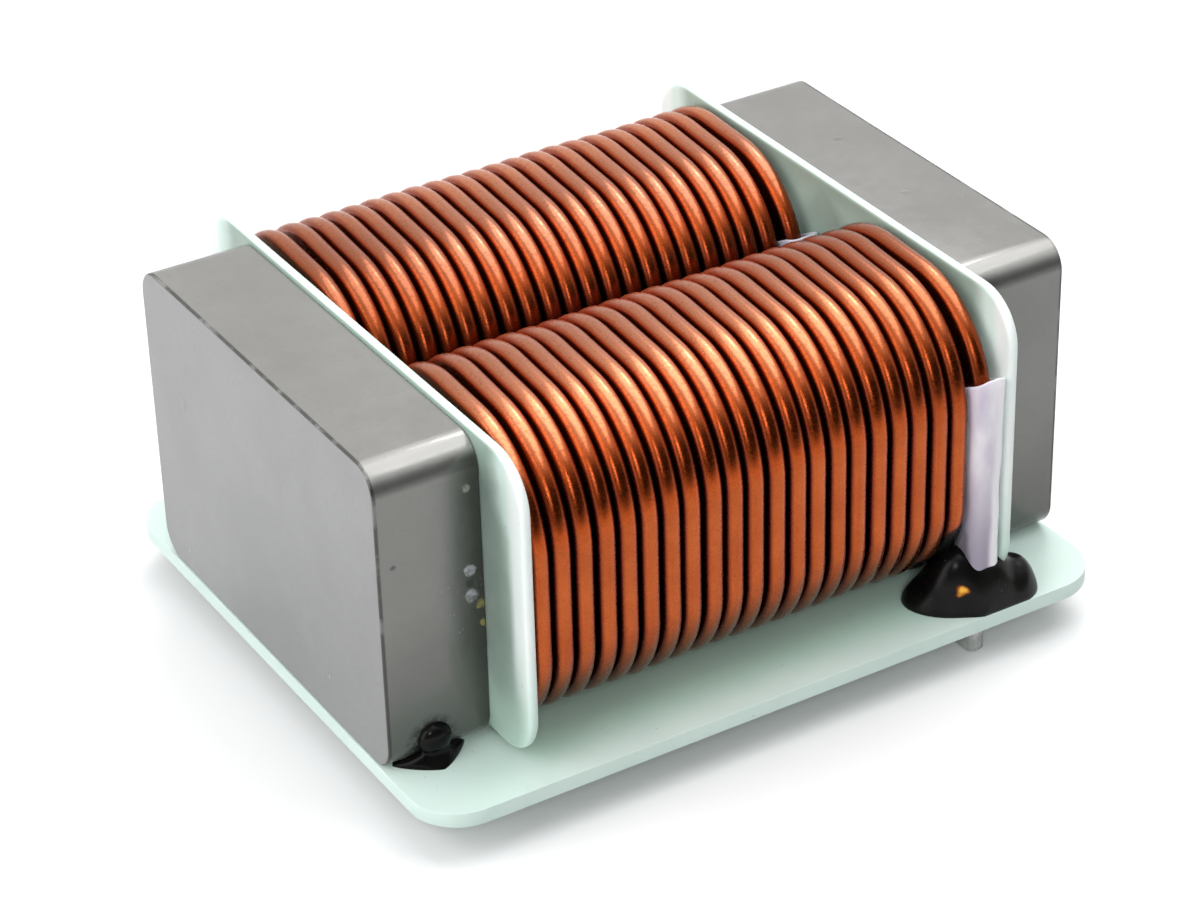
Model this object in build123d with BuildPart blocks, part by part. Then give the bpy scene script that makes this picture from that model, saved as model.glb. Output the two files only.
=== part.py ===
from build123d import *
import os
from math import cos, radians, sin

os.makedirs("parts", exist_ok=True)

# Core blocks: two yokes joined by two legs
yoke_length = 8.3
yoke_width = 36.0
yoke_height = 25.0
yoke_edge = 2.3
leg_length = 41.8
leg_width = 10.8
leg_height = 13.0
leg_edge = 3.0

# Moulded bobbins, one at each end, with tubes that line the coils
leg_fit = 0.2
tube_wall = 0.7
coil_fit = 0.5
tube_joint = 0.1
flange_thick = 0.8
flange_rim = 0.45
flange_over_yoke = 0.45
flange_above_plate = 0.85
flange_corner = 4.0

# Flat wire wound on edge
wire_thick = 1.5
wire_width = 4.5
turns = 21
coil_spacing = 1.4
coil_lift = 0.7
end_gap = 0.2
outer_facets = 8
inner_facets = 5

# Leads: sleeves over the wire and solder pins below the plate
sleeve_wall = 0.35
sleeve_side_fit = 0.3
sleeve_end_fit = 0.1
sleeve_edge = 0.9
sleeve_turn_gap = 0.05
sleeve_above_bend = 3.1
sleeve_slant = 30.0
pin_length = 3.2

# Base plate
plate_thick = 1.2
plate_end_margin = 0.1
plate_side_margin = 1.6
plate_corner = 4.0
slot_fit = 0.15

# Epoxy beads
puddle_length = 9.0
puddle_width = 7.6
puddle_corner = 3.7
puddle_height = 0.9
puddle_slope = 0.5
mound_radius = 3.3
mound_top_radius = 2.3
mound_height = 3.8
mound_offset = 0.5
heap_radius = 2.7
heap_top_radius = 1.5
heap_height = 3.0
heap_along = 3.2
heap_outward = 0.9
core_bead_radius = 2.9
core_bead_inset = 3.7
core_bead_depth = 1.5
core_bead_lift = 0.7

# Sizes that follow from the ones above
liner = leg_fit + tube_wall + coil_fit
coil_width = leg_width + 2 * (liner + wire_width)
coil_height = leg_height + 2 * (liner + wire_width)
bend_radius = leg_edge + liner + wire_width
coil_y = (coil_width + coil_spacing) / 2
coil_z = plate_thick + coil_lift + coil_height / 2
strand_y = (coil_width - wire_width) / 2
strand_z = coil_height / 2 - bend_radius
yoke_face = leg_length / 2
coil_end = yoke_face - flange_thick - end_gap
sleeve_half_x = wire_thick / 2 + sleeve_side_fit + sleeve_wall
sleeve_half_y = wire_width / 2 + sleeve_end_fit + sleeve_wall
lead_x = coil_end - sleeve_half_x
first_x = -coil_end + wire_thick / 2
last_x = lead_x - sleeve_half_x - sleeve_turn_gap - wire_thick / 2
pitch = (last_x - first_x) / (turns - 1)
back_shift = coil_end - wire_thick / 2 - (last_x + pitch)
plate_length = 2 * (yoke_face + yoke_length + plate_end_margin)
plate_width = 2 * (coil_y + coil_width / 2 + plate_side_margin)
half_turn = Rotation(0, 0, 180)


# Rounded block with its axis along X, from one face to the other
def block(x_from, x_to, y, z, width, height, edge):
    with BuildPart(mode=Mode.PRIVATE) as piece:
        with BuildSketch(Plane.YZ.offset(x_from)):
            with Locations((y, z)):
                RectangleRounded(width, height, edge)
        extrude(amount=x_to - x_from)
    return piece.part


# Yokes lie across the ends and stand on the plate
yoke_z = plate_thick + yoke_height / 2
with BuildPart() as yoke_right:
    add(block(yoke_face, yoke_face + yoke_length, 0, yoke_z, yoke_width, yoke_height, yoke_edge))
with BuildPart() as yoke_left:
    add(half_turn * yoke_right.part)

# Legs run from yoke to yoke through the coils
with BuildPart() as leg_front:
    add(block(-yoke_face, yoke_face, -coil_y, coil_z, leg_width, leg_height, leg_edge))
with BuildPart() as leg_rear:
    add(half_turn * leg_front.part)

# Bobbin: one flange across both coils, with a half-length tube for each leg
hole_width = leg_width + 2 * leg_fit
hole_height = leg_height + 2 * leg_fit
hole_edge = leg_edge + leg_fit
flange_width = 2 * (coil_y + coil_width / 2 + flange_rim)
flange_height = yoke_height + flange_over_yoke - flange_above_plate
with BuildPart() as bobbin_right:
    with BuildSketch(Plane.YZ.offset(yoke_face)):
        with Locations((0, plate_thick + flange_above_plate + flange_height / 2)):
            RectangleRounded(flange_width, flange_height, flange_corner)
    extrude(amount=-flange_thick)
    with BuildSketch(Plane.YZ.offset(yoke_face)):
        with Locations((-coil_y, coil_z), (coil_y, coil_z)):
            RectangleRounded(hole_width + 2 * tube_wall, hole_height + 2 * tube_wall, hole_edge + tube_wall)
    extrude(amount=tube_joint / 2 - yoke_face)
    with BuildSketch(Plane.YZ.offset(yoke_face)):
        with Locations((-coil_y, coil_z), (coil_y, coil_z)):
            RectangleRounded(hole_width, hole_height, hole_edge)
    extrude(amount=-yoke_face, mode=Mode.SUBTRACT)
with BuildPart() as bobbin_left:
    add(half_turn * bobbin_right.part)


# Points of the two bends of a half turn, from the back strand to the front one
def bend_points(half_width, half_height, radius, facets, up):
    points = []
    for side in (1, -1):
        angles = [90 * k / facets for k in range(facets + 1)]
        for angle in angles if side == 1 else angles[::-1]:
            y = side * (half_width - radius + radius * cos(radians(angle)))
            z = up * (half_height - radius + radius * sin(radians(angle)))
            points.append((y - coil_y, z + coil_z))
    return points


# Half a turn: bent on edge over or under the leg, leaning only between the strands
def arch(x_back, x_front, up):
    outside = bend_points(coil_width / 2, coil_height / 2, bend_radius, outer_facets, up)
    inside = bend_points(
        coil_width / 2 - wire_width,
        coil_height / 2 - wire_width,
        bend_radius - wire_width,
        inner_facets,
        up,
    )
    lean_from = coil_width / 2 - wire_width
    lean_to = coil_width / 2 + wire_width
    middle = [(x_front, -lean_to), (x_front, -lean_from), (x_back, lean_from), (x_back, lean_to)]
    strip = [(x - wire_thick / 2, y - coil_y) for x, y in middle]
    strip += [(x + wire_thick / 2, y - coil_y) for x, y in middle[::-1]]
    with BuildPart(mode=Mode.PRIVATE) as piece:
        with BuildSketch(Plane.YZ.offset(min(x_back, x_front) - wire_thick)):
            Polygon(*outside, *inside[::-1], align=None)
        extrude(amount=abs(x_back - x_front) + 2 * wire_thick)
        with BuildSketch(Plane.XY.offset(coil_z - coil_height)):
            Polygon(*strip, align=None)
        extrude(amount=2 * coil_height, mode=Mode.INTERSECT)
    return piece.part


# Straight strand of the wire beside the leg
def strand(y, z_from, z_to):
    with BuildPart(mode=Mode.PRIVATE) as piece:
        with BuildSketch(Plane.XY.offset(z_from)):
            with Locations((0, y)):
                Rectangle(wire_thick, wire_width)
        extrude(amount=z_to - z_from)
    return piece.part


# Winding: each turn goes down the front, under, up the back and over, one wire thickness on
front_y = -coil_y - strand_y
back_y = -coil_y + strand_y
fronts = [first_x + pitch * k for k in range(turns)]
backs = [x + pitch + back_shift for x in fronts]
over = arch(back_shift, 0, 1)
under = arch(pitch + back_shift, 0, -1)
front_strand = strand(front_y, coil_z - strand_z, coil_z + strand_z)
back_strand = strand(back_y, coil_z - strand_z, coil_z + strand_z)
with BuildPart() as winding_front:
    with Locations((-lead_x, 0, 0)):
        add(strand(back_y, -pin_length, coil_z + strand_z))
    add(arch(-lead_x, first_x, 1))
    with Locations(*[(x, 0, 0) for x in fronts]):
        add(front_strand)
        add(under)
    with Locations(*[(x, 0, 0) for x in backs]):
        add(back_strand)
    with Locations(*[(x, 0, 0) for x in fronts[1:]]):
        add(over)
    add(arch(backs[-1], lead_x, 1))
    with Locations((lead_x, 0, 0)):
        add(strand(front_y, -pin_length, coil_z + strand_z))
with BuildPart() as winding_rear:
    add(half_turn * winding_front.part)


# Sleeve on a lead, cut square to the wire where the bend begins
def sleeve(x, y, outward):
    top = coil_z + strand_z + sleeve_above_bend
    with BuildPart(mode=Mode.PRIVATE) as piece:
        with BuildSketch(Plane.XY.offset(plate_thick)):
            with Locations((x, y)):
                RectangleRounded(2 * sleeve_half_x, 2 * sleeve_half_y, sleeve_edge)
                RectangleRounded(
                    2 * (sleeve_half_x - sleeve_wall),
                    2 * (sleeve_half_y - sleeve_wall),
                    sleeve_edge - sleeve_wall,
                    mode=Mode.SUBTRACT,
                )
        extrude(amount=top - plate_thick)
        rim = Plane((x, y + outward * sleeve_half_y, top)).rotated((outward * sleeve_slant, 0, 0))
        split(bisect_by=rim, keep=Keep.BOTTOM)
    return piece.part


# Epoxy bead round the foot of a lead: a flat puddle with a mound, run against what stands there, and on
# an outer lead a second heap round the flange's foot
def lead_bead(x, y, outward, neighbours, heap_side=0):
    with BuildPart(mode=Mode.PRIVATE) as piece:
        with BuildSketch(Plane.XY.offset(plate_thick)):
            with Locations((x, y)):
                RectangleRounded(puddle_length, puddle_width, puddle_corner)
        extrude(amount=puddle_height)
        chamfer(piece.edges().group_by(Axis.Z)[-1], puddle_slope)
        with Locations((x, y + outward * mound_offset, plate_thick + mound_height / 2)):
            Cone(mound_radius, mound_top_radius, mound_height)
        if heap_side:
            heap = (x + heap_side * heap_along, y + outward * heap_outward, plate_thick + heap_height / 2)
            with Locations(heap):
                Cone(heap_radius, heap_top_radius, heap_height)
        with BuildSketch(Plane.XY.offset(plate_thick)):
            with Locations((x, y)):
                RectangleRounded(2 * sleeve_half_x, 2 * sleeve_half_y, sleeve_edge)
        extrude(amount=mound_height, mode=Mode.SUBTRACT)
        for neighbour in neighbours:
            add(neighbour.part, mode=Mode.SUBTRACT)
    return piece.part


# Leads of the front coil, one outside at the right and one inside at the left
with BuildPart() as sleeve_front_right:
    add(sleeve(lead_x, front_y, -1))
with BuildPart() as sleeve_front_left:
    add(sleeve(-lead_x, back_y, 1))
with BuildPart() as sleeve_rear_left:
    add(half_turn * sleeve_front_right.part)
with BuildPart() as sleeve_rear_right:
    add(half_turn * sleeve_front_left.part)
with BuildPart() as epoxy_front_right:
    add(lead_bead(lead_x, front_y, -1, (winding_front, bobbin_right, yoke_right), heap_side=1))
with BuildPart() as epoxy_front_left:
    add(lead_bead(-lead_x, back_y, 1, (winding_front, bobbin_left, yoke_left)))
with BuildPart() as epoxy_rear_left:
    add(half_turn * epoxy_front_right.part)
with BuildPart() as epoxy_rear_right:
    add(half_turn * epoxy_front_left.part)

# Epoxy beads that hold the yokes' lower edges to the plate, at opposite corners
with BuildPart() as epoxy_yoke_left:
    with Locations(
        (
            -yoke_face - yoke_length + core_bead_inset,
            -yoke_width / 2 + core_bead_depth,
            plate_thick + core_bead_lift,
        )
    ):
        Sphere(core_bead_radius)
    split(bisect_by=Plane.XY.offset(plate_thick), keep=Keep.TOP)
    add(yoke_left.part, mode=Mode.SUBTRACT)
with BuildPart() as epoxy_yoke_right:
    add(half_turn * epoxy_yoke_left.part)

# Base plate with a slot for each pin
pins = [(lead_x, front_y), (-lead_x, back_y), (lead_x, -back_y), (-lead_x, -front_y)]
with BuildPart() as base_plate:
    with BuildSketch():
        RectangleRounded(plate_length, plate_width, plate_corner)
        with Locations(*pins):
            Rectangle(wire_thick + 2 * slot_fit, wire_width + 2 * slot_fit, mode=Mode.SUBTRACT)
    extrude(amount=plate_thick)

# One file for each piece
yoke_left.part.label = "yoke_left"
export_step(yoke_left.part, "parts/yoke_left.step")
yoke_right.part.label = "yoke_right"
export_step(yoke_right.part, "parts/yoke_right.step")
leg_front.part.label = "leg_front"
export_step(leg_front.part, "parts/leg_front.step")
leg_rear.part.label = "leg_rear"
export_step(leg_rear.part, "parts/leg_rear.step")
bobbin_left.part.label = "bobbin_left"
export_step(bobbin_left.part, "parts/bobbin_left.step")
bobbin_right.part.label = "bobbin_right"
export_step(bobbin_right.part, "parts/bobbin_right.step")
base_plate.part.label = "base_plate"
export_step(base_plate.part, "parts/base_plate.step")
winding_front.part.label = "winding_front"
export_step(winding_front.part, "parts/winding_front.step")
winding_rear.part.label = "winding_rear"
export_step(winding_rear.part, "parts/winding_rear.step")
sleeve_front_right.part.label = "sleeve_front_right"
export_step(sleeve_front_right.part, "parts/sleeve_front_right.step")
sleeve_front_left.part.label = "sleeve_front_left"
export_step(sleeve_front_left.part, "parts/sleeve_front_left.step")
sleeve_rear_left.part.label = "sleeve_rear_left"
export_step(sleeve_rear_left.part, "parts/sleeve_rear_left.step")
sleeve_rear_right.part.label = "sleeve_rear_right"
export_step(sleeve_rear_right.part, "parts/sleeve_rear_right.step")
epoxy_front_right.part.label = "epoxy_front_right"
export_step(epoxy_front_right.part, "parts/epoxy_front_right.step")
epoxy_front_left.part.label = "epoxy_front_left"
export_step(epoxy_front_left.part, "parts/epoxy_front_left.step")
epoxy_rear_left.part.label = "epoxy_rear_left"
export_step(epoxy_rear_left.part, "parts/epoxy_rear_left.step")
epoxy_rear_right.part.label = "epoxy_rear_right"
export_step(epoxy_rear_right.part, "parts/epoxy_rear_right.step")
epoxy_yoke_left.part.label = "epoxy_yoke_left"
export_step(epoxy_yoke_left.part, "parts/epoxy_yoke_left.step")
epoxy_yoke_right.part.label = "epoxy_yoke_right"
export_step(epoxy_yoke_right.part, "parts/epoxy_yoke_right.step")
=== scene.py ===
import bmesh
import bpy
import numpy as np
from mathutils import Matrix


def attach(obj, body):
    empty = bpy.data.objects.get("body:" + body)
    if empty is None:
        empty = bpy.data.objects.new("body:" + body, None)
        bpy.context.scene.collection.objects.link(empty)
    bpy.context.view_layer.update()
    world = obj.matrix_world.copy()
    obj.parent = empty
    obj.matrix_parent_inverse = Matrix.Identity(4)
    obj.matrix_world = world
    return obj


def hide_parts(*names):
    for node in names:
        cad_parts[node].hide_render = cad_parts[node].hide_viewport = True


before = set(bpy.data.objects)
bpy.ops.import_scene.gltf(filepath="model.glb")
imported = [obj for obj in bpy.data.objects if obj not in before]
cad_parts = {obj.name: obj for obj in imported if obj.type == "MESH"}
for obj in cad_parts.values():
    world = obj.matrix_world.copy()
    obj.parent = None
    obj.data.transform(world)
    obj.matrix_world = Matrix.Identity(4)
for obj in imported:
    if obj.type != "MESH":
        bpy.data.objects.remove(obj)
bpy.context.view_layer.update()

mm = 0.001


# ---- Yokes ----
# Two blocks of pressed iron powder that close the magnetic path at both ends. They are pressed along
# their thickness, which leaves a fine dark flash round each end face, and have a satin grey coating.
# They stand on the base plate, glued to the flanges.

def skin(name, grid, ring=False, lengths=None, halves=False):
    """A mesh over a grid of points: each row is closed into a ring, rows are joined one to the next (and
    the last to the first if ring is set), and equal points are merged, which closes the poles. With
    lengths, a UV map holds each point's distance along the rows and round them, in metres. With halves,
    the grid and its mirror image across Y = 0 are joined there, and the wall between them goes."""
    rows, columns = grid.shape[:2]
    row, column = np.meshgrid(np.arange(rows if ring else rows - 1), np.arange(columns), indexing="ij")
    after = (row + 1) % rows
    beside = (column + 1) % columns
    faces = np.stack(
        [row * columns + column, row * columns + beside, after * columns + beside, after * columns + column],
        axis=-1,
    ).reshape(-1, 4)
    points = grid.reshape(-1, 3)
    if halves:
        faces = np.concatenate([faces, faces + len(points)])
        points = np.concatenate([points, points * [1, -1, 1]])
        faces = faces[np.abs(points[faces][:, :, 1]).max(axis=1) > 1e-6]
    mesh = bpy.data.meshes.new(name)
    mesh.from_pydata((points * mm).tolist(), [], faces.tolist())
    if lengths is not None:
        along, round_it = lengths
        corners = np.stack(
            [
                np.stack([along[row], along[row], along[row + 1], along[row + 1]], axis=-1),
                np.stack(
                    [round_it[column], round_it[column + 1], round_it[column + 1], round_it[column]], axis=-1
                ),
            ],
            axis=-1,
        )
        layer = mesh.uv_layers.new(name="lengths")
        layer.data.foreach_set("uv", (corners * mm).ravel())
    shell = bmesh.new()
    shell.from_mesh(mesh)
    bmesh.ops.remove_doubles(shell, verts=shell.verts, dist=1e-8)
    bmesh.ops.recalc_face_normals(shell, faces=shell.faces)
    shell.to_mesh(mesh)
    shell.free()
    mesh.polygons.foreach_set("use_smooth", np.ones(len(mesh.polygons), dtype=bool))
    piece = bpy.data.objects.new(name, mesh)
    bpy.context.scene.collection.objects.link(piece)
    return piece


def dress(piece, material, solid):
    """Gives a piece its material, lets it ride on the part, and lets it stand for the given solid."""
    piece.data.materials.append(material)
    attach(piece, "root")
    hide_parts(solid)


def four_corners(points):
    """The way round four corners, each with that many points: the angle of every point on its corner's
    quarter circle, and the side, 1 or -1, on which its corner lies in both directions."""
    turn = np.radians(np.concatenate([np.linspace(q, q + 90, points) for q in (0, 90, 180, 270)]))
    return turn, np.repeat([1, -1, -1, 1], points), np.repeat([1, 1, -1, -1], points)


def rounded_ring(width, height, radius, inset, points):
    """Points round a rectangle with round corners, one row for each inset: every corner is a quarter
    circle about its own fixed centre, and the inset shortens the circle's radius."""
    turn, side_a, side_b = four_corners(points)
    reach = radius - inset[:, None]
    a = side_a * (width / 2 - radius) + reach * np.cos(turn)
    b = side_b * (height / 2 - radius) + reach * np.sin(turn)
    return a, b


def block(name, x_from, x_to, z, width, height, radius, edge):
    """A block along X with long edges of one radius and a smaller round edge at both ends: the profile
    goes from the middle of one end face, over two rings that keep it flat and its edge as a quarter
    circle, along the side and over the other edge."""
    curve = np.radians(np.linspace(90, 0, 6))
    inset = edge * np.concatenate([[2.2, 1.2], 1 - np.cos(curve)])
    depth = edge * np.concatenate([[0, 0], 1 - np.sin(curve)])
    a, b = rounded_ring(width, height, radius, np.concatenate([inset, inset[::-1]]), 21)
    x = np.concatenate([x_from + depth, x_to - depth[::-1]])
    ring = np.stack([np.broadcast_to(x[:, None], a.shape), a, z + b], axis=-1)
    middle = np.ones((1, a.shape[1], 1))
    return skin(name, np.concatenate([middle * [x_from, 0, z], ring, middle * [x_to, 0, z]]))


def node(tree, kind, inputs=None, **settings):
    """A shader node with its settings, and its inputs set to a value or joined to another node."""
    made = tree.nodes.new("ShaderNode" + kind)
    for key, value in settings.items():
        setattr(made, key, value)
    for key, value in (inputs or {}).items():
        if isinstance(value, bpy.types.NodeSocket):
            tree.links.new(value, made.inputs[key])
        else:
            made.inputs[key].default_value = value
    return made


def finish(name):
    """A new material: its tree, its main shader and the piece's own coordinates."""
    material = bpy.data.materials.new(name)
    material.use_nodes = True
    tree = material.node_tree
    return material, tree, tree.nodes["Principled BSDF"], node(tree, "TexCoord").outputs["Object"]


def parts_of(tree, direction):
    """The X, Y and Z of a place or direction."""
    return node(tree, "SeparateXYZ", {"Vector": direction}).outputs


def facing_of(tree):
    """The X, Y and Z of the direction that the surface faces."""
    return parts_of(tree, node(tree, "NewGeometry").outputs["Normal"])


def set_relief(tree, shader, height, strength, deep):
    """A bump from a height, of which 1 stands for a depth in mm."""
    relief = node(tree, "Bump", {"Strength": strength, "Distance": deep * mm, "Height": height})
    tree.links.new(relief.outputs["Normal"], shader.inputs["Normal"])


def blend(tree, share, one, other):
    """One colour turned into another by a share between 0 and 1."""
    mixed = node(tree, "Mix", data_type="RGBA")
    for socket, value in ((0, share), (6, one), (7, other)):
        if isinstance(value, bpy.types.NodeSocket):
            tree.links.new(value, mixed.inputs[socket])
        else:
            mixed.inputs[socket].default_value = value if socket == 0 else (*value, 1)
    return mixed.outputs[2]


def sum_of(tree, kind, one, other):
    """Two numbers joined by one sum, such as ADD or MAXIMUM."""
    return node(tree, "Math", {0: one, 1: other}, operation=kind).outputs[0]


def times(tree, one, other):
    """The product of two numbers."""
    return sum_of(tree, "MULTIPLY", one, other)


def unsigned(tree, value):
    """A number without its sign, so that a pattern is the same on both sides of the middle."""
    return node(tree, "Math", {0: value}, operation="ABSOLUTE").outputs[0]


def ramp(tree, value, low, high, to_low=0.0, to_high=1.0):
    """A value that goes from to_low at low to to_high at high in a soft step."""
    limits = {"Value": value, "From Min": low, "From Max": high, "To Min": to_low, "To Max": to_high}
    return node(tree, "MapRange", limits, interpolation_type="SMOOTHSTEP").outputs["Result"]


def grain(tree, where, scale, stretch=(1, 1, 1), detail=3.0, roughness=0.55):
    """Noise with that many spots to the metre, drawn out along the axes with a small stretch."""
    placed = node(tree, "Mapping", {"Vector": where, "Scale": stretch}).outputs["Vector"]
    spots = {"Vector": placed, "Scale": scale, "Detail": detail, "Roughness": roughness}
    return node(tree, "TexNoise", spots).outputs["Fac"]


def spot(tree, where, centre, radius, soft):
    """1 within a radius of a place on the piece, in mm, and 0 outside it."""
    away = node(tree, "VectorMath", {0: where, 1: [c * mm for c in centre]}, operation="DISTANCE")
    return ramp(tree, away.outputs["Value"], (radius - soft) * mm, (radius + soft) * mm, 1, 0)


def wandering(tree, where, scale, far):
    """The same place moved about by noise, up to about half of far, in mm, so that a spot is ragged."""
    noise = node(tree, "TexNoise", {"Vector": where, "Scale": scale, "Detail": 3}).outputs["Color"]
    moved = node(tree, "VectorMath", {0: noise, 1: [far * mm] * 3, 2: where}, operation="MULTIPLY_ADD")
    back = {0: moved.outputs[0], 1: [far / 2 * mm] * 3}
    return node(tree, "VectorMath", back, operation="SUBTRACT").outputs[0]


def coated_powder(name, marks):
    """Satin grey coating on pressed powder: cloudy grey with a fine grain and faint upright press marks,
    with painted shade on the sides and low on the round of the long edges, and a painted highlight at
    the top of that round. More painted shade darkens the sides near the flanges and the foot, and the
    end faces have a broken dark flash line round them. The marks lie on top, each with its place,
    radius, colour, share of the colour and depth."""
    material, tree, shader, where = finish(name)
    axis = parts_of(tree, where)
    facing = facing_of(tree)
    end_face = ramp(tree, unsigned(tree, facing["X"]), 0.6, 0.95)
    outward = unsigned(tree, axis["X"])
    cloudy = ramp(tree, grain(tree, where, 130), 0.3, 0.75)
    colour = blend(tree, cloudy, (0.268, 0.263, 0.249), (0.228, 0.224, 0.211))
    cloudy = ramp(tree, grain(tree, where, 90), 0.3, 0.7)
    neutral = blend(tree, cloudy, (0.268, 0.268, 0.268), (0.236, 0.236, 0.236))
    colour = blend(tree, end_face, colour, neutral)
    powder = ramp(tree, grain(tree, where, 2600, detail=2), 0.5, 0.8, 0, 0.35)
    colour = blend(tree, powder, colour, (0.2, 0.2, 0.19))
    press = ramp(tree, grain(tree, where, 420, (1.6, 1.6, 0.12)), 0.55, 0.75, 0, 0.12)
    colour = blend(tree, press, colour, (0.24, 0.24, 0.22))
    scuff = grain(tree, where, 700, (0.5, 0.9, 0.45), detail=5, roughness=0.7)
    patch = ramp(tree, grain(tree, where, 70, detail=1), 0.55, 0.72)
    scuffed = times(tree, ramp(tree, scuff, 0.6, 0.68), patch)
    colour = blend(tree, times(tree, scuffed, 0.3), colour, (0.17, 0.17, 0.165))
    # Painted shade: the front and back faces darker.
    front = ramp(tree, unsigned(tree, facing["Y"]), 0.7, 0.95)
    colour = blend(tree, times(tree, front, 0.33), colour, (0.1, 0.1, 0.095))
    long_edge = ramp(tree, end_face, 0, 0.4, 1, 0)
    # Painted highlight: the upper part of the long edges' round lighter.
    upwards = ramp(tree, facing["Z"], 0.5, 0.72, 0, 0.3)
    painted_highlight = times(tree, upwards, ramp(tree, facing["Z"], 0.92, 0.99, 1, 0))
    colour = blend(tree, times(tree, painted_highlight, long_edge), colour, (0.6, 0.6, 0.58))
    # Painted shade: a dark band on the lower part of the long edges' round.
    slanted = ramp(tree, facing["Z"], 0.05, 0.25, 0, 0.65)
    shade = times(tree, slanted, ramp(tree, facing["Z"], 0.4, 0.62, 1, 0))
    colour = blend(tree, times(tree, shade, long_edge), colour, (0.08, 0.08, 0.075))
    # Painted shade on the front and back faces, near the flanges and towards the foot.
    cloud = grain(tree, where, 330, (1, 1, 0.5), detail=4)
    near = sum_of(tree, "ADD", outward, times(tree, cloud, 1.2 * mm))
    corner = ramp(tree, near, 21.5 * mm, 24.9 * mm, 1, 0)
    low = sum_of(tree, "ADD", axis["Z"], times(tree, cloud, 1.5 * mm))
    foot = ramp(tree, low, 1.6 * mm, 16 * mm, 0.72, 0)
    painted_shade = times(tree, front, sum_of(tree, "MAXIMUM", corner, foot))
    colour = blend(tree, times(tree, painted_shade, 0.86), colour, (0.04, 0.045, 0.035))
    broken = ramp(tree, grain(tree, where, 380, detail=4), 0.36, 0.52, 0.25, 1)
    line = times(tree, ramp(tree, outward, 29.16 * mm, 29.2 * mm, 1, 0), broken)
    flash = times(tree, ramp(tree, outward, 28.86 * mm, 29.0 * mm), line)
    colour = blend(tree, times(tree, flash, 0.85), colour, (0.035, 0.035, 0.03))
    dent = times(tree, flash, 0.4)
    shaken = wandering(tree, where, 900, 0.75)
    for centre, radius, tint, share, deep in marks:
        mark = spot(tree, shaken, centre, radius, radius * 0.3)
        ragged = times(tree, mark, ramp(tree, grain(tree, where, 2100), 0.35, 0.55, 0.35, 1))
        colour = blend(tree, times(tree, ragged, share), colour, tint)
        dent = sum_of(tree, "ADD", dent, times(tree, mark, deep))
    tree.links.new(colour, shader.inputs["Base Color"])
    satin = ramp(tree, grain(tree, where, 900, detail=4), 0.3, 0.7, 0.16, 0.25)
    rough = sum_of(tree, "ADD", satin, times(tree, scuffed, 0.12))
    tree.links.new(rough, shader.inputs["Roughness"])
    shader.inputs["Metallic"].default_value = 0.3
    fine = times(tree, grain(tree, where, 5200, detail=2), 0.12)
    height = sum_of(tree, "ADD", fine, times(tree, scuff, 0.1))
    set_relief(tree, shader, sum_of(tree, "SUBTRACT", height, dent), 0.35, 0.12)
    return material


yoke_face, yoke_end = 20.9, 29.2
yoke_z, yoke_width, yoke_height, yoke_round, yoke_edge = 13.7, 36.0, 25.0, 2.3, 0.16
yoke_front = -yoke_width / 2
yoke_top = yoke_z + yoke_height / 2
pit = (0.05, 0.05, 0.05)
glue = (0.62, 0.62, 0.68)
stain = (0.45, 0.38, 0.12)
left_marks = [
    ((-28.0, yoke_front, 18.4), 0.2, pit, 0.9, 0.9),
    ((-22.0, yoke_front, 16.0), 0.42, glue, 0.7, -0.8),
    ((-21.9, yoke_front, 13.9), 0.5, glue, 0.65, -0.8),
    ((-22.0, yoke_front, 15.0), 0.32, pit, 0.7, 0.3),
    ((-22.0, yoke_front, 22.7), 0.34, (0.42, 0.42, 0.34), 0.7, -0.4),
    # A near-black halo round the epoxy drop, with no dent.
    ((-25.8, yoke_front, 3.1), 1.8, (0.012, 0.012, 0.01), 0.8, 0),
    ((-21.2, yoke_front, 13.0), 0.35, stain, 0.8, -0.3),
    ((-21.1, yoke_front, 11.4), 0.3, stain, 0.7, -0.3),
]
right_marks = [
    ((25.4, 5.8, yoke_top), 0.35, (0.16, 0.16, 0.15), 0.6, 0.5),
    ((24.4, -4.6, yoke_top), 0.3, (0.18, 0.18, 0.17), 0.5, 0.4),
]
for side, sign, marks in (("left", -1, left_marks), ("right", 1, right_marks)):
    near, far = sorted([sign * yoke_face, sign * yoke_end])
    yoke = block(
        "yoke_" + side + "_coated", near, far, yoke_z, yoke_width, yoke_height, yoke_round, yoke_edge
    )
    dress(yoke, coated_powder("coating_" + side, marks), "yoke_" + side)


# ---- Legs ----
# Two posts of the same pressed powder, without the marks, that close the magnetic path through the
# coils. They stand inside the bobbins' tubes, and only their ends touch the yokes.

leg_finish = coated_powder("coating_legs", [])
for side in ("front", "rear"):
    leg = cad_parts["leg_" + side]
    leg.data.materials.clear()
    leg.data.materials.append(leg_finish)


# ---- Bobbins and base plate ----
# Pale mint plastic, moulded with softly rounded rims. A flange stands between the coils and each yoke,
# and carries half of both tubes; the plate under everything has a slot for each pin.

flange_inner, flange_outer, flange_half = 20.1, 20.9, 23.75
flange_foot, flange_top, flange_corner = 2.05, 26.65, 4.0
coil_y, coil_z, bend_y, bend_z = 12.0, 14.3, 2.4, 3.5
tube_bend, tube_wall, tube_end = 3.2, 0.7, 0.05
plate_top, plate_rim = 1.2, 0.3


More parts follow.
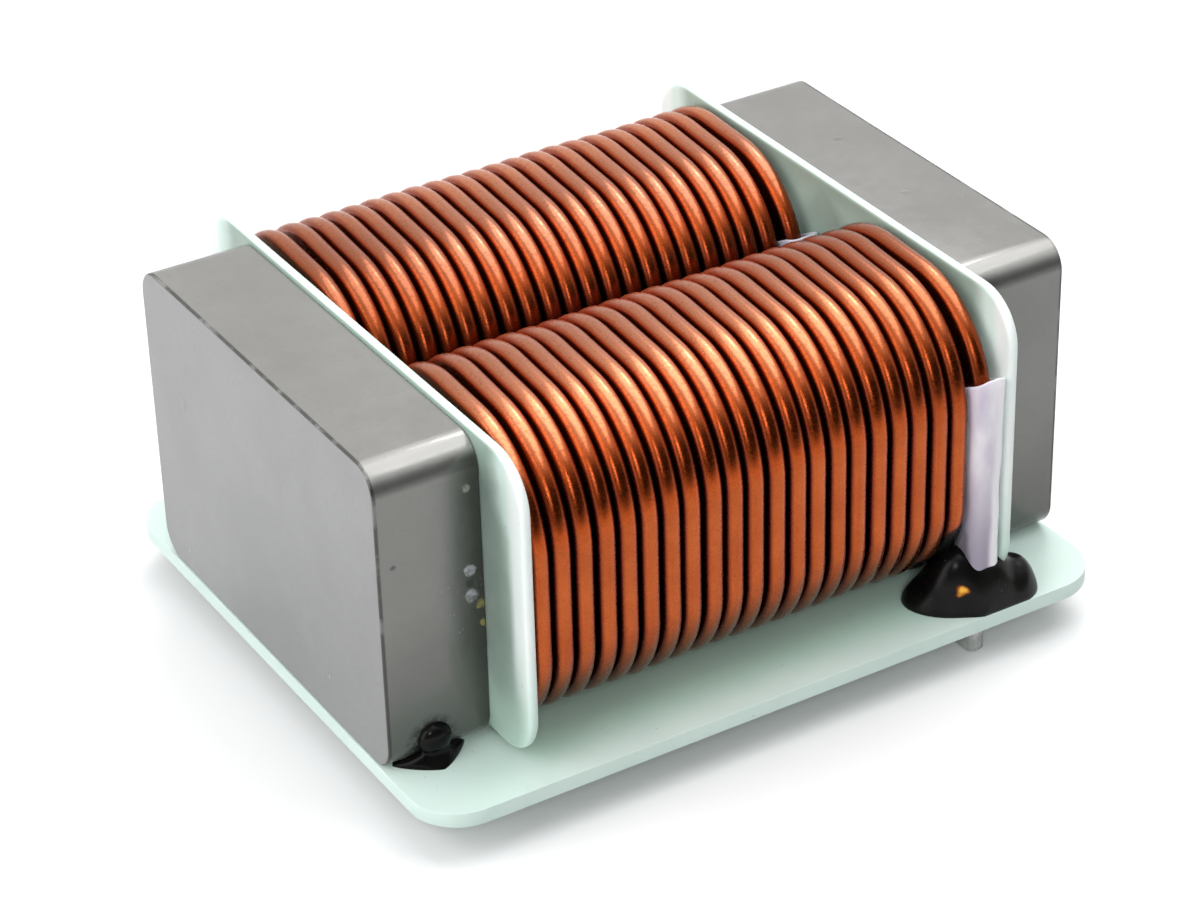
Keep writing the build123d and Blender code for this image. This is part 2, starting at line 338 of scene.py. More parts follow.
def bobbin(name, sign):
    """Half a bobbin as a closed ring about the leg, then mirrored: the profile runs along the tube's
    inside, up the flange's outer face, round its rim as half a circle, down the inner face and back
    along the tube's outside. Every outline has four corners, quarter circles about fixed centres; those
    on the middle of the flange have no radius and aren't inset, so both halves meet there."""
    points = 15
    turn, away_y, away_z = four_corners(points)

    def tube(out):
        """The tube's outline, its corners' radius that much larger than inside."""
        reach = tube_bend + out
        y = coil_y + away_y * bend_y + reach * np.cos(turn)
        z = coil_z + away_z * bend_z + reach * np.sin(turn)
        return y, z

    def rim(inset):
        """The flange's outline, moved that far inwards, but not at the seam."""
        radius = np.repeat([flange_corner, 0, 0, flange_corner], points)
        centre_y = np.where(away_y > 0, flange_half - radius, 0)
        centre_z = np.where(away_z > 0, flange_top - radius, flange_foot + radius)
        reach = np.maximum(radius - inset, 0)
        on_seam = away_y < 0
        y = np.where(on_seam, 0, centre_y + reach * np.cos(turn))
        z = np.where(on_seam, centre_z - away_z * inset, centre_z + reach * np.sin(turn))
        return y, z

    round_rim = (flange_outer - flange_inner) / 2
    angle = np.radians(np.linspace(90, -90, 13))
    outlines = [tube(0), tube(0), rim(round_rim * 1.6)]
    outlines += [rim(round_rim * (1 - np.cos(a))) for a in angle]
    outlines += [rim(round_rim * 1.6), tube(tube_wall), tube(tube_wall)]
    over_rim = flange_inner + round_rim * (1 + np.sin(angle))
    outside = [tube_end, flange_outer, flange_outer]
    inside = [flange_inner, flange_inner, tube_end]
    x = sign * np.concatenate([outside, over_rim, inside])
    y, z = np.stack(outlines, axis=1)
    grid = np.stack([np.broadcast_to(x[:, None], y.shape), y, z], axis=-1)
    return skin(name, grid, ring=True, halves=True)


def mint_plastic(name):
    """Pale mint plastic: hardly cloudy, a little glossy, with a fine moulded grain and dusty specks. Painted
    shade darkens the flanges' faces behind the coils, makes them greener low down and duller halfway up,
    and painted light makes them nearly white at their outer ends; painted shade also makes the plate
    greener under the coils."""
    material, tree, shader, where = finish(name)
    cloudy = ramp(tree, grain(tree, where, 110), 0.3, 0.7)
    colour = blend(tree, cloudy, (0.78, 0.94, 0.87), (0.71, 0.88, 0.81))
    axis = parts_of(tree, where)
    facing = facing_of(tree)
    sideways = unsigned(tree, axis["Y"])
    # Painted shade on the flanges' faces behind the coils, fading out towards their outer ends.
    cloud = times(tree, grain(tree, where, 330, detail=4), 1.6 * mm)
    inward = sum_of(tree, "ADD", cloud, ramp(tree, axis["Z"], 12 * mm, 25 * mm, 2.8 * mm, 0))
    corner = ramp(tree, sum_of(tree, "SUBTRACT", sideways, inward), 18.0 * mm, 20.5 * mm, 1, 0)
    flank = ramp(tree, unsigned(tree, facing["X"]), 0.7, 0.95)
    upright = ramp(tree, axis["Z"], 1.25 * mm, 1.4 * mm)
    painted_shade = times(tree, times(tree, corner, flank), upright)
    colour = blend(tree, times(tree, painted_shade, 0.76), colour, (0.2, 0.29, 0.23))
    # Painted shade: the plate greener and darker under the coils.
    under = ramp(tree, unsigned(tree, axis["X"]), 18.5 * mm, 21 * mm, 1, 0)
    under = times(tree, under, ramp(tree, sideways, 20.5 * mm, 24.2 * mm, 1, 0))
    under = times(tree, under, ramp(tree, axis["Z"], 1.25 * mm, 1.4 * mm, 0.36, 0))
    colour = blend(tree, under, colour, (0.48, 0.92, 0.66))
    # Painted shade: the upright faces greener and darker low down.
    lower = times(tree, ramp(tree, axis["Z"], 3 * mm, 15 * mm, 1, 0), upright)
    colour = blend(tree, times(tree, lower, 0.5), colour, (0.55, 0.76, 0.65))
    # Painted light: the flanges' faces nearly white towards their outer ends.
    pale = ramp(tree, sideways, 21.2 * mm, 22.4 * mm)
    pale = times(tree, pale, ramp(tree, axis["Z"], 4 * mm, 14 * mm))
    colour = blend(tree, pale, colour, (0.93, 1.0, 0.97))
    # Painted shade halfway up the flanges' faces, fading out at their outer ends.
    halfway = ramp(tree, sideways, 21.2 * mm, 22.6 * mm, 0.42, 0)
    halfway = times(tree, halfway, ramp(tree, axis["Z"], 11 * mm, 15 * mm))
    halfway = times(tree, halfway, ramp(tree, axis["Z"], 19 * mm, 22 * mm, 1, 0))
    colour = blend(tree, times(tree, halfway, flank), colour, (0.42, 0.56, 0.48))
    speck = ramp(tree, grain(tree, where, 1900, detail=1), 0.76, 0.82)
    colour = blend(tree, times(tree, speck, 0.3), colour, (0.3, 0.34, 0.3))
    tree.links.new(colour, shader.inputs["Base Color"])
    tree.links.new(ramp(tree, grain(tree, where, 500), 0.3, 0.7, 0.28, 0.42), shader.inputs["Roughness"])
    set_relief(tree, shader, grain(tree, where, 1500), 0.12, 0.1)
    return material


mint = mint_plastic("mint_plastic")
for side, sign in (("left", -1), ("right", 1)):
    dress(bobbin("flange_" + side, sign), mint, "bobbin_" + side)

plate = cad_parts["base_plate"]
plate.data.materials.clear()
plate.data.materials.append(mint)
weld = plate.modifiers.new("weld", "WELD")
weld.merge_threshold = 1e-6
rim = plate.modifiers.new("rim", "BEVEL")
rim.width = plate_rim * mm
rim.segments = 4
rim.limit_method = "ANGLE"
rim.angle_limit = np.radians(50)


# ---- Windings ----
# Flat copper wire with a clear reddish-brown enamel, 1.5 mm thick and 4.5 mm wide, wound on its narrow
# edge: 21 turns and a lead up from the plate at one end and down at the other. The leads go on through
# the plate as pins, stripped of enamel and tinned.

wire_thick, wire_width, wire_nose, bend_middle = 1.5, 4.5, 0.62, 6.65
turns, first_x, pitch, back_shift = 21, -19.15, 1.7725, 1.0775
lead_x, pin_foot = 18.5, -3.2
loose_by, sway_by, sink_by = 0.045, 0.02, 0.035


def lean(share):
    """How far over to the next strand the wire is at a share of its way round the bends: it starts and
    ends slowly and moves evenly in the middle."""
    return share - 0.55 * np.sin(2 * np.pi * share) / (2 * np.pi)


def wound_wire(seed):
    """The wire's section, flat sides with half an ellipse at both ends, carried along its path: one ring of
    stations round the leg, quarter bends about four fixed centres with straight strands between, repeats
    for each turn; the X of the strands is blended from back to front over the top and back under it. The
    strands lie a little unevenly by random shifts, and sway and sink by slow waves along the wire. The
    leads go straight down to the pins, whose ends taper."""
    chance = np.random.default_rng(seed)
    fronts = first_x + pitch * np.arange(turns)
    backs = fronts + pitch + back_shift
    loose = chance.uniform(-loose_by, loose_by, (2, turns))
    loose[:, [0, -1]] = 0
    starts = np.concatenate([[-lead_x], backs + loose[0]])
    ends = np.concatenate([fronts + loose[1], [lead_x]])

    bend = np.linspace(0, 90, 16)
    strand = np.linspace(-1, 1, 8)[1:-1]
    still = np.zeros(len(strand))
    turn = np.radians(np.concatenate([bend, bend + 90, still + 180, bend + 180, bend + 270, still + 360]))
    one = np.ones(len(bend))
    side = bend_y * np.concatenate([one, -one, still - 1, -one, one, still + 1])
    level = bend_z * np.concatenate([one, one, -strand, -one, -one, strand])
    arc = np.radians(bend) * bend_middle
    half = np.concatenate([arc, arc + arc[-1] + 2 * bend_y]) / (2 * arc[-1] + 2 * bend_y)
    over = np.concatenate([half, still + 1])
    x = np.concatenate(
        [
            starts[:, None] + (ends - starts)[:, None] * lean(over),
            ends[:, None] + (np.roll(starts, -1) - ends)[:, None] * lean(over),
        ],
        axis=1,
    ).ravel()[: -len(over) - len(strand)]
    turn, side, level = (np.tile(v, turns + 1)[: len(x)] for v in (turn, side, level))
    station = np.arange(len(x))
    sway = sway_by * np.sin(station * 0.13 + seed) * np.sin(station * 0.037)
    sink = sink_by * (1 + np.sin(station * 0.071 + 2 * seed))

    rise = pin_foot + np.array([0, 0, 0.06, 0.25, 3.0, 4.4, 8.0, 13.0, 18.0])
    size = np.array([0, 0.75, 0.92, 1, 1, 1, 1, 1, 1])
    plain = np.ones(len(rise))
    x = np.concatenate([-lead_x * plain, x + sway, lead_x * plain])
    turn = np.concatenate([0 * plain, turn, np.pi * plain])
    side = np.concatenate([bend_y * plain, side, -bend_y * plain])
    level = np.concatenate([rise - coil_z, level, rise[::-1] - coil_z])
    sink = np.concatenate([0 * plain, sink, 0 * plain])
    size = np.concatenate([size, np.ones(len(sink) - 2 * len(size)), size[::-1]])

    quarter = np.linspace(0, 90, 7)
    nose = np.radians(np.concatenate([quarter - 90, np.linspace(0, 180, 13), quarter[:-1] + 180]))
    thick = wire_thick / 2 * np.cos(nose)
    wide = np.repeat([-1, 1, -1], [7, 13, 6]) * (wire_width / 2 - wire_nose) + wire_nose * np.sin(nose)
    reach = (bend_middle - sink)[:, None] + size[:, None] * wide
    grid = np.stack(
        [
            x[:, None] + size[:, None] * thick,
            side[:, None] + reach * np.cos(turn)[:, None] - coil_y,
            level[:, None] + reach * np.sin(turn)[:, None] + coil_z,
        ],
        axis=-1,
    )
    centre = grid.mean(axis=1)
    along = np.concatenate([[0], np.cumsum(np.linalg.norm(np.diff(centre, axis=0), axis=1))])
    loop = np.stack([thick, wide], axis=-1)
    step = np.linalg.norm(np.roll(loop, -1, axis=0) - loop, axis=1)
    return grid, (along, np.concatenate([[0], np.cumsum(step)]))


def enamelled_copper(name):
    """Copper seen through clear enamel: red-brown metal with fine streaks along the wire and a grainy
    gloss that breaks the highlights into specks. A painted sheen makes it paler on top, most towards the
    outer side, and painted shade makes it deeper orange at the bend, gives it a dark band above the
    straight strands and darkens the gaps, the undersides, the strands between the coils and the turns
    near the outer lead. Black epoxy crept up the last strands by the outer lead. The pins are tinned."""
    material, tree, shader, where = finish(name)
    lengths = node(tree, "UVMap", uv_map="lengths").outputs["UV"]
    axis = parts_of(tree, where)
    facing = facing_of(tree)
    sideways = unsigned(tree, axis["Y"])
    flank = unsigned(tree, facing["X"])
    cloud = grain(tree, where, 260, detail=3)
    streak = grain(tree, lengths, 2400, (0.05, 1, 1), detail=3)
    fine = grain(tree, where, 3600, detail=3, roughness=0.7)
    colour = blend(tree, ramp(tree, cloud, 0.3, 0.7), (0.405, 0.086, 0.0185), (0.338, 0.065, 0.0125))
    colour = blend(tree, ramp(tree, streak, 0.45, 0.72, 0, 0.35), colour, (0.3, 0.045, 0.01))
    # Painted sheen: paler on top, most towards the outer side.
    top = blend(tree, ramp(tree, sideways, 11 * mm, 17 * mm), (0.47, 0.18, 0.1), (0.7, 0.25, 0.12))
    colour = blend(tree, ramp(tree, facing["Z"], 0.5, 0.97, 0, 0.85), colour, top)
    # Painted shade: deeper orange on the slope of the bend.
    bend = times(tree, ramp(tree, facing["Z"], 0.04, 0.3), ramp(tree, facing["Z"], 0.6, 0.88, 1, 0))
    colour = blend(tree, times(tree, bend, 0.8), colour, (0.4, 0.055, 0.004))
    # Painted shade: a dark band above the straight strands.
    band = ramp(tree, axis["Z"], 19.6 * mm, 21.3 * mm)
    band = times(tree, band, ramp(tree, axis["Z"], 22.3 * mm, 24.4 * mm, 1, 0))
    colour = blend(tree, times(tree, band, 0.5), colour, (0.08, 0.012, 0.002))
    # Painted shade in the gaps between the strands.
    deep = ramp(tree, axis["Z"], 20 * mm, 25 * mm, 1, 0.3)
    gap = times(tree, ramp(tree, flank, 0.5, 0.9), deep)
    colour = blend(tree, gap, colour, (0.14, 0.02, 0.009))
    gap = times(tree, ramp(tree, flank, 0.9, 1.0), deep)
    colour = blend(tree, gap, colour, (0.03, 0.008, 0.005))
    speckled = ramp(tree, axis["Z"], 18 * mm, 23 * mm, 0.1, 0.36)
    speckled = times(tree, ramp(tree, fine, 0.48, 0.68), speckled)
    colour = blend(tree, speckled, colour, (0.13, 0.022, 0.004))
    # Painted shade on the undersides.
    colour = blend(tree, ramp(tree, facing["Z"], -0.6, -0.05, 0.6, 0), colour, (0.05, 0.014, 0.005))
    # Painted shade on the strands between the coils.
    between = ramp(tree, sideways, 1.5 * mm, 5.5 * mm, 1, 0)
    between = times(tree, between, ramp(tree, axis["Z"], 19 * mm, 24.5 * mm, 0.92, 0))
    colour = blend(tree, between, colour, (0.025, 0.005, 0.002))
    from_lead = times(tree, axis["X"], sum_of(tree, "SIGN", axis["Y"], 0))
    # Painted shade on the turns near the outer lead.
    painted_end_shade = ramp(tree, from_lead, -17 * mm, -4 * mm, 0.42, 0)
    painted_end_shade = times(tree, painted_end_shade, ramp(tree, axis["Z"], 17 * mm, 20.5 * mm))
    colour = blend(tree, painted_end_shade, colour, (0.2, 0.034, 0.005))
    ragged = sum_of(tree, "SUBTRACT", times(tree, cloud, 2.0 * mm), from_lead)
    crept = ramp(tree, ragged, 12.0 * mm, 18.5 * mm, 3.0 * mm, 9.6 * mm)
    over = sum_of(tree, "SUBTRACT", axis["Z"], crept)
    film = times(tree, ramp(tree, over, -0.8 * mm, 0, 1, 0), ramp(tree, sideways, 18.5 * mm, 20.5 * mm))
    film = times(tree, film, ramp(tree, axis["Z"], 1.1 * mm, 1.3 * mm))
    colour = blend(tree, film, colour, (0.004, 0.004, 0.004))
    tree.links.new(ramp(tree, film, 0.2, 0.6, 0.5, 0.06), shader.inputs["Specular IOR Level"])
    tinned = ramp(tree, axis["Z"], 0.4 * mm, 0.9 * mm, 1, 0)
    tin = blend(tree, ramp(tree, grain(tree, where, 900), 0.3, 0.7), (0.62, 0.62, 0.6), (0.48, 0.48, 0.47))
    tree.links.new(blend(tree, tinned, colour, tin), shader.inputs["Base Color"])
    tree.links.new(ramp(tree, film, 0.1, 0.7, 0.95, 0), shader.inputs["Metallic"])
    shoulder = ramp(tree, flank, 0.12, 0.55, 0, 0.08)
    rough = sum_of(tree, "ADD", ramp(tree, fine, 0.3, 0.7, 0.17, 0.3), shoulder)
    tree.links.new(rough, shader.inputs["Roughness"])
    shader.inputs["Coat Weight"].default_value = 0.1
    shader.inputs["Coat Roughness"].default_value = 0.25
    height = sum_of(tree, "ADD", times(tree, fine, 0.5), times(tree, streak, 0.4))
    set_relief(tree, shader, height, 0.2, 0.06)
    return material


copper = enamelled_copper("enamelled_copper")
for side, sign, seed in (("front", 1, 3), ("rear", -1, 8)):
    path, lengths = wound_wire(seed)
    wire = skin("flat_wire_" + side, path * [sign, sign, 1], lengths=lengths)
    dress(wire, copper, "winding_" + side)


# ---- Sleeves ----
# A soft white tube pushed over each lead, from the plate to the start of the bend. Its top is cut by
# hand, so the rim is a little wavy, and the thin wall is drawn in here and there.

sleeve_x, sleeve_y, sleeve_wall, sleeve_edge = 1.4, 2.7, 0.35, 0.9
sleeve_top, sleeve_fall, rim_round = 20.9, 0.577, 0.14
sleeve_off, sleeve_bulge, sleeve_dip, inner_longer = 0.12, 0.08, 0.05, 1.4


def sleeve(name, x, y, outward, longer, seed):
    """A tube round the lead: the profile goes up the outside, over the rim as half an ellipse and down
    the inside. The rim falls from the outer side to the inner one, with small waves; the outside dips in
    by soft waves, and the outer side bulges, more towards the top."""
    up = np.concatenate([[0], np.linspace(0.02, 1, 22), np.ones(4), np.linspace(0.9, 0, 6)])[:, None]
    rim = np.radians(np.linspace(0, 180, 6)[1:-1])
    inset = np.concatenate([np.zeros(23), sleeve_wall / 2 * (1 - np.cos(rim)), np.full(6, sleeve_wall)])
    lift = np.concatenate([np.zeros(23), rim_round * np.sin(rim), np.zeros(6)])[:, None]
    a, b = rounded_ring(2 * sleeve_x, 2 * sleeve_y, sleeve_edge, inset, 10)
    turn = np.arctan2(b, a)
    top = sleeve_top + longer - 0.15 - sleeve_fall * (sleeve_y - outward * b)
    top += 0.12 * np.sin(3 * turn + seed) + 0.07 * np.sin(7 * turn + 2 * seed)
    z = plate_top + up * (top - plate_top) + lift
    dip = sleeve_dip * (1 + np.sin(0.9 * z + 2 * turn + seed) * np.sin(0.37 * z - 3 * turn))
    dip = dip * np.sin(np.pi * up) * (inset < sleeve_wall / 2)[:, None]
    loose = 1 + sleeve_bulge * np.clip(outward * b / sleeve_y, 0, 1) * (0.4 + 0.6 * up)
    across = a * (1 - dip / sleeve_x) + sleeve_off * np.sign(x)
    deep = b * (1 - dip / sleeve_y) * loose
    return skin(name, np.stack([x + across, y + deep, z], axis=-1), ring=True)


def white_sleeving(name):
    """Soft white tubing with a lavender cast, with painted shade low down on the side towards the coil
    and painted light on its outer side. Painted shade makes the tubes between the coils dimmer. It has a
    waxy gloss, and black epoxy drawn up beside the coil."""
    material, tree, shader, where = finish(name)
    cloud = grain(tree, where, 300, (1, 1, 0.35))
    colour = blend(tree, ramp(tree, cloud, 0.38, 0.68), (0.98, 0.94, 1.0), (0.66, 0.6, 0.73))
    axis = parts_of(tree, where)
    sideways = unsigned(tree, axis["Y"])
    ragged = sum_of(tree, "ADD", unsigned(tree, axis["X"]), times(tree, cloud, 0.7 * mm))
    # Painted shade low down on the side towards the coil.
    painted_sleeve_shade = ramp(tree, axis["Z"], 5 * mm, 17 * mm, 1, 0)
    painted_sleeve_shade = times(tree, painted_sleeve_shade, ramp(tree, ragged, 18.8 * mm, 19.4 * mm, 1, 0))
    colour = blend(tree, painted_sleeve_shade, colour, (0.37, 0.33, 0.42))
    # Painted light on the outer side.
    colour = blend(tree, ramp(tree, ragged, 19.0 * mm, 19.7 * mm), colour, (0.98, 0.98, 1.0))
    # Painted shade on the tubes between the coils.
    colour = blend(tree, ramp(tree, sideways, 4 * mm, 8 * mm, 0.55, 0), colour, (0.3, 0.33, 0.4))
    drawn_up = ramp(tree, sideways, 20 * mm, 21.5 * mm, 3.6 * mm, 8.0 * mm)
    over = sum_of(tree, "SUBTRACT", axis["Z"], drawn_up)
    film = ramp(tree, over, -0.5 * mm, 0.4 * mm, 1, 0)
    film = times(tree, film, ramp(tree, ragged, 17.45 * mm, 17.75 * mm, 1, 0))
    tree.links.new(blend(tree, film, colour, (0.006, 0.006, 0.006)), shader.inputs["Base Color"])
    tree.links.new(ramp(tree, grain(tree, where, 1200), 0.3, 0.7, 0.3, 0.5), shader.inputs["Roughness"])
    set_relief(tree, shader, cloud, 0.3, 0.2)
    return material


sleeving = white_sleeving("white_sleeving")
outer_lead = coil_y + bend_y + bend_middle
inner_lead = coil_y - bend_y - bend_middle
leads = {
    "front_right": (lead_x, -outer_lead, -1, 0),
    "front_left": (-lead_x, -inner_lead, 1, inner_longer),
    "rear_left": (-lead_x, outer_lead, 1, 0),
    "rear_right": (lead_x, inner_lead, -1, inner_longer),
}
for seed, (place, where) in enumerate(leads.items()):
    dress(sleeve("tube_" + place, *where, seed), sleeving, "sleeve_" + place)


# ---- Epoxy beads ----
# Black epoxy, dripped on by hand while it was liquid and set glossy: a puddle with a mound round the
# foot of each lead, and a drop that holds the lower edge of each yoke to the plate.

plate_edge, bead_flat, puddle_high = 24.88, 0.82, 0.85
drop_x, drop_foot_y, drop_skirt = -25.5, -16.9, 1.1
bare_copper, bare_radius = (16.4, -23.82, 3.4), 0.42


def lead_bead(name, x, y, radii, mounds, stop, sign):
    """A puddle with mounds, measured from its middle outwards along X and towards +Y: rings grow to an
    outline, a smooth closed curve through the radii at even angles. The height is a flat puddle, whose
    edge is a quarter ellipse, and the mounds, bells joined by the cube root of their cubes' sum, which
    fade out at the edge. A mound has its middle, its half widths, its height and its steepness. The
    bead ends at the stop along X, and a sign of -1 gives the half-turned one."""
    turn = np.linspace(0, 2 * np.pi, 84, endpoint=False)
    rim = 1 - bead_flat
    closer = np.sin(np.radians(np.linspace(0, 90, 8)[1:]))
    out = np.concatenate([np.linspace(0, bead_flat, 24), bead_flat + rim * closer])[:, None]
    outline = np.fft.irfft(np.fft.rfft(radii), len(turn)) * len(turn) / len(radii)
    a = out * outline * np.cos(turn)
    b = out * outline * np.sin(turn)
    into_rim = np.clip(out - bead_flat, 0, 1) / rim
    puddle = puddle_high * np.sqrt(np.clip(1 - into_rim**2, 0, 1))
    bells = [
        high * np.exp(-(np.hypot((a - at_a) / half_a, (b - at_b) / half_b) ** steep))
        for at_a, at_b, half_a, half_b, high, steep in mounds
    ]
    z = plate_top + puddle + np.cbrt(sum(bell**3 for bell in bells)) * (1 - out**10)
    across = np.sign(x) * np.minimum(abs(x) + a, stop)
    top = np.stack([across, np.maximum(y + b, -plate_edge), z], axis=-1)
    foot = np.broadcast_to([x, y, plate_top], (1, len(turn), 3))
    return skin(name, np.concatenate([top, foot]) * [sign, sign, 1])


def yoke_drop(name, sign):
    """A small ball that hangs on the yoke's front, on a skirt that ran out under the yoke's lower edge:
    outlines about an upright axis, which go from round at the ball to pointed at the foot, with their
    half length along X, their reach along Y and the axis's own Y eased from one height to the next. A
    sign of -1 gives the half-turned drop."""
    turn = np.linspace(0, 2 * np.pi, 64, endpoint=False)
    height = [4.5, 4.42, 4.15, 3.7, 3.2, 2.7, 2.35, 2.15, 1.85, 1.5, plate_top]
    length = [0, 0.45, 0.95, 1.25, 1.34, 1.24, 1.05, 1.3, 1.95, 2.6, 2.95]
    reach = [0, 0.3, 0.6, 0.8, 0.86, 0.78, 0.62, 0.75, 1.25, 1.9, 2.4]
    middle = [yoke_front] * 7 + [-17.9, -17.55, -17.15, drop_foot_y]
    between = np.linspace(0, len(height) - 1, 41)
    ease = np.array([0.1, 0.2, 0.4, 0.2, 0.1])
    rows = [np.interp(between, np.arange(len(row)), row) for row in (height, length, reach, middle)]
    rows = [np.concatenate([row[:2], np.convolve(row, ease, "valid"), row[-2:]])[:, None] for row in rows]
    height, length, reach, middle = rows
    power = 2 - 0.75 * np.clip((plate_top + drop_skirt - height) / drop_skirt, 0, 1)
    away = (np.abs(np.cos(turn)) ** power + np.abs(np.sin(turn)) ** power) ** (-1 / power)
    across = drop_x + length * away * np.cos(turn)
    deep = middle + reach * away * np.sin(turn)
    top = np.stack([across, deep, height + 0 * turn], axis=-1)
    foot = np.broadcast_to([drop_x, drop_foot_y, plate_top], (1, len(turn), 3))
    return skin(name, np.concatenate([top, foot]) * [sign, sign, 1])


def black_epoxy(name, bare, gloss, rough):
    """Black epoxy of a given gloss and roughness, with a slow ripple and a few dull dust specks, and a
    speck of bare copper, bright in a rusty rim, at the given places."""
    material, tree, shader, where = finish(name)
    ripple = grain(tree, where, 260, detail=1)
    dust = ramp(tree, grain(tree, where, 2300, detail=1), 0.74, 0.8)
    colour = blend(tree, ramp(tree, ripple, 0.3, 0.7), (0.003, 0.003, 0.003), (0.009, 0.009, 0.008))
    colour = blend(tree, times(tree, dust, 0.4), colour, (0.08, 0.08, 0.08))
    for centre, radius in bare:
        shaken = wandering(tree, where, 1100, 0.9)
        rusty = spot(tree, shaken, centre, radius, radius * 0.3)
        colour = blend(tree, times(tree, rusty, 0.9), colour, (0.5, 0.11, 0.01))
        shiny = spot(tree, shaken, centre, radius * 0.7, radius * 0.4)
        colour = blend(tree, shiny, colour, (1.0, 0.56, 0.07))
    tree.links.new(colour, shader.inputs["Base Color"])
    tree.links.new(ramp(tree, dust, 0, 1, rough, 0.5), shader.inputs["Roughness"])
    shader.inputs["Specular IOR Level"].default_value = gloss
    set_relief(tree, shader, ripple, 0.5, 0.5)
    return material


epoxy = black_epoxy("black_epoxy", [(bare_copper, bare_radius)], 0.13, 0.24)
fresh_epoxy = black_epoxy("black_epoxy_drops", [], 0.1, 0.1)
outer_radii = [5.4, 4.4, 3.3, 3.1, 3.6, 4.9, 4.8, 3.7, 3.3, 3.4, 4.0, 5.3]
inner_radii = [4.2, 4.0, 3.6, 3.4, 3.7, 4.1, 4.3, 4.0, 3.6, 3.3, 3.5, 4.0]
outer_mounds = [
    (0.3, -0.35, 3.0, 3.0, 3.1, 4.2),
    (3.6, -1.0, 2.2, 2.2, 1.75, 2.8),
    (-2.0, -0.35, 2.1, 2.5, 3.6, 2.8),
]
inner_mounds = [(0, 0, 2.5, 3.4, 3.1, 4.2)]
outer_bead_y, outer_bead_stop = -21.6, 24.6
for outside, inside, drop, sign in (
    ("front_right", "front_left", "left", 1),
    ("rear_left", "rear_right", "right", -1),
):
    bead = lead_bead(
        "bead_" + outside, lead_x, outer_bead_y, outer_radii, outer_mounds, outer_bead_stop, sign
    )
    dress(bead, epoxy, "epoxy_" + outside)
    bead = lead_bead("bead_" + inside, -lead_x, -inner_lead, inner_radii, inner_mounds, yoke_face, sign)
    dress(bead, epoxy, "epoxy_" + inside)
    dress(yoke_drop("drop_" + drop, sign), fresh_epoxy, "epoxy_yoke_" + drop)


# ---- Table, light and camera ----
# A plain table under the pins, white far off, with a large soft lamp overhead and a small one beside it,
# one in front and a wide one at the left. A card in front, dark in its middle and seen only in
# reflections, darkens the copper's band together with the painted dark band in the copper's colour.

def stage_plate(name, corners, material):
    """A flat four-cornered sheet of the studio, in mm, which isn't part of the object."""
    mesh = bpy.data.meshes.new(name)
    mesh.from_pydata([[c * mm for c in corner] for corner in corners], [], [(0, 1, 2, 3)])
    sheet = bpy.data.objects.new(name, mesh)
    bpy.context.scene.collection.objects.link(sheet)
    mesh.materials.append(material)
    return sheet


table_top, tree, shader, where = finish("table_top")
path = node(tree, "LightPath").outputs
shown = sum_of(tree, "MAXIMUM", path["Is Camera Ray"], path["Is Glossy Ray"])
table_colour = blend(tree, shown, (0.4, 0.4, 0.4), (0.98, 0.98, 0.98))
tree.links.new(table_colour, shader.inputs["Base Color"])
shader.inputs["Roughness"].default_value = 0.9
shader.inputs["Specular IOR Level"].default_value = 0.0
away = node(tree, "VectorMath", {0: where}, operation="LENGTH").outputs["Value"]
far_off = times(tree, ramp(tree, away, 150 * mm, 400 * mm), path["Is Camera Ray"])
paper = node(tree, "Emission", {"Color": (1, 1, 1, 1), "Strength": 1.0})
whole = node(tree, "MixShader", {0: far_off, 1: shader.outputs[0], 2: paper.outputs[0]})
tree.links.new(whole.outputs[0], tree.nodes["Material Output"].inputs["Surface"])
wide = 3000
table_corners = [(x * wide, y * wide, pin_foot) for x, y in ((-1, -1), (1, -1), (1, 1), (-1, 1))]
stage_plate("table", table_corners, table_top)

shaded_card, tree, _, where = finish("shaded_card")
height = parts_of(tree, where)["Z"]
low = ramp(tree, height, 0, 130 * mm, 0.5, 0)
bright = sum_of(tree, "MAXIMUM", low, ramp(tree, height, 350 * mm, 1450 * mm, 0.03, 1.45))
glow = node(tree, "Emission", {"Strength": bright})
tree.links.new(glow.outputs[0], tree.nodes["Material Output"].inputs["Surface"])
card_left, card_right, card_y, card_foot, card_top = -900, 1800, -700, pin_foot + 1, 2500
card_corners = [
    (card_left, card_y, card_foot),
    (card_right, card_y, card_foot),
    (card_right, card_y, card_top),
    (card_left, card_y, card_top),
]
card = stage_plate("card", card_corners, shaded_card)
card.visible_camera = False
card.visible_shadow = False
card.visible_diffuse = False
card.visible_transmission = False

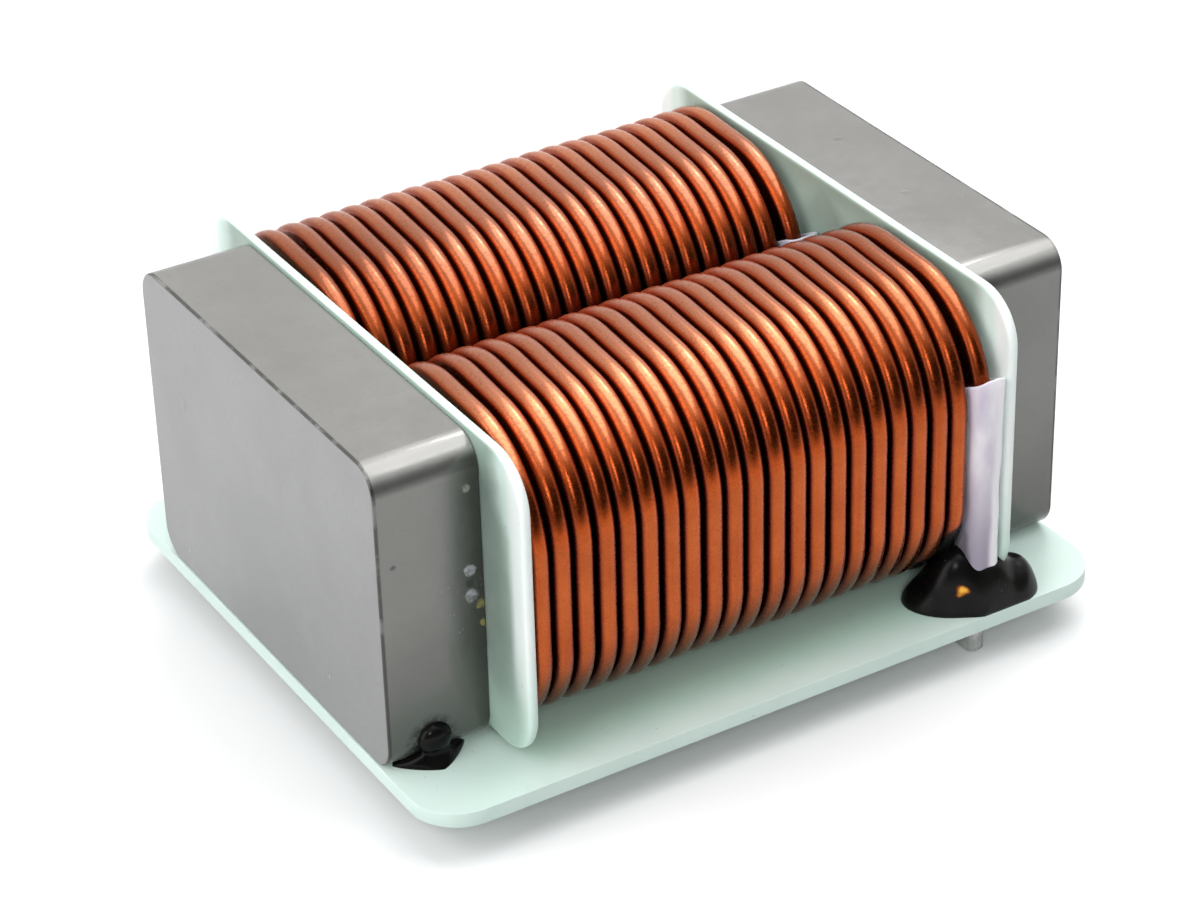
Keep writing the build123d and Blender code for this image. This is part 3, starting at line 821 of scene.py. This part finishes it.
world = bpy.data.worlds.new("studio")
bpy.context.scene.world = world
world.use_nodes = True
tree = world.node_tree
path = node(tree, "LightPath").outputs
through = sum_of(tree, "MAXIMUM", path["Is Glossy Ray"], path["Is Transmission Ray"])
shown = sum_of(tree, "MAXIMUM", path["Is Camera Ray"], through)
height = parts_of(tree, node(tree, "TexCoord").outputs["Generated"])["Z"]
overhead = ramp(tree, height, 0.0, 1.0, 0.12, 0.7)
room = node(tree, "Background", {"Color": (0.97, 0.98, 1.0, 1), "Strength": overhead})
white = node(tree, "Background", {"Color": (1, 1, 1, 1), "Strength": 1.0})
either = node(tree, "MixShader", {0: shown, 1: room.outputs[0], 2: white.outputs[0]})
tree.links.new(either.outputs[0], tree.nodes["World Output"].inputs["Surface"])


def soft_lamp(name, place, aim, size, watts):
    """A square soft lamp that looks from one point to another, in mm."""
    light = bpy.data.lights.new(name, "AREA")
    light.size = size * mm
    light.energy = watts
    lamp = bpy.data.objects.new(name, light)
    bpy.context.scene.collection.objects.link(lamp)
    back = np.array(place, dtype=float) - aim
    back /= np.linalg.norm(back)
    right = np.cross([0, 0, 1], back)
    right /= np.linalg.norm(right)
    turned = np.eye(4)
    turned[:3, :3] = np.stack([right, np.cross(back, right), back], axis=-1)
    turned[:3, 3] = np.array(place) * mm
    lamp.matrix_world = Matrix(turned)


soft_lamp("key_lamp", (180, 60, 365), (150, 40, 10), 470, 1.33)
soft_lamp("bright_lamp", (183, 150, 350), (0, 0, 10), 80, 0.12)
soft_lamp("front_lamp", (-160, -340, 240), (0, 0, 10), 120, 0.4)
soft_lamp("side_lamp", (-380, 20, 200), (0, 0, 10), 480, 1.4)

azimuth, elevation, roll = np.radians([-30.7248, 31.363, -1.5961])
distance, aside, above, focal = 280.8084, -0.6599, 6.85, 3611.7669
photo_width, sensor_width = 1200, 36.0
level = np.cos(elevation)
back = np.array([np.sin(azimuth) * level, -np.cos(azimuth) * level, np.sin(elevation)])
right = np.array([np.cos(azimuth), np.sin(azimuth), 0.0])
up = np.cross(back, right)
rolled_right = np.cos(roll) * right + np.sin(roll) * up
rolled_up = np.cos(roll) * up - np.sin(roll) * right
frame_axes = np.stack([rolled_right, rolled_up, back], axis=-1)
camera_data = bpy.data.cameras.new("camera")
camera_data.sensor_width = sensor_width
camera_data.lens = focal / photo_width * sensor_width
camera_data.clip_start = 0.01
camera_data.clip_end = 10.0
camera = bpy.data.objects.new("camera", camera_data)
bpy.context.scene.collection.objects.link(camera)
placed = np.eye(4)
placed[:3, :3] = frame_axes
placed[:3, 3] = (frame_axes @ [aside, above, distance] + [0, 0, plate_top]) * mm
camera.matrix_world = Matrix(placed)
bpy.context.scene.camera = camera

bpy.context.scene.view_settings.view_transform = "Standard"
